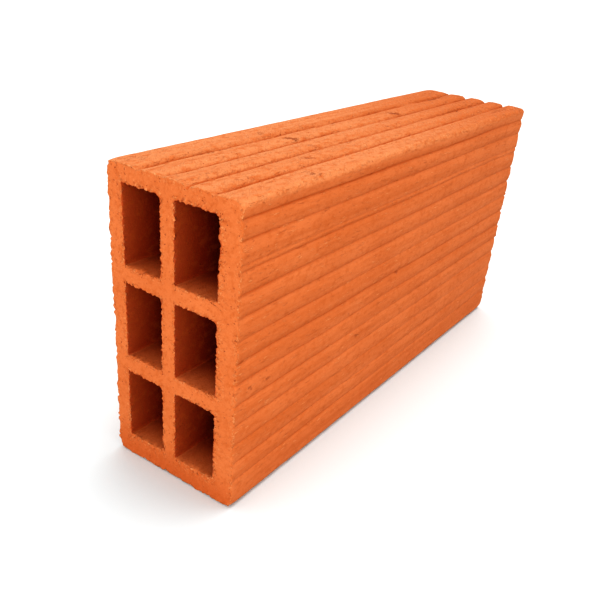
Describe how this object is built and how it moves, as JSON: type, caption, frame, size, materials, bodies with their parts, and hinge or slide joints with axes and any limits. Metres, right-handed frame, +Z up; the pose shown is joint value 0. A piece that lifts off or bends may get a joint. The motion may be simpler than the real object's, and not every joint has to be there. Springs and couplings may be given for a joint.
{
  "type": "hollow clay brick",
  "caption": "Horizontally cored fired-clay brick for partition walls: open rectangular cells end to end, grooved faces, wire-cut ends.",
  "frame": {"origin": "middle of the lower bed face, on the level that the brick stands on", "axes": "+X along the cells from the near end to the far end, +Y across the brick from the thick-walled side to the thin-walled side, +Z up"},
  "size_m": [0.4, 0.1, 0.2],
  "materials": {
    "fired_clay": "matt, unglazed, open-pored orange terracotta"
  },
  "bodies": {
    "root": {"brick": "fired_clay"}
  },
  "joints": []
}
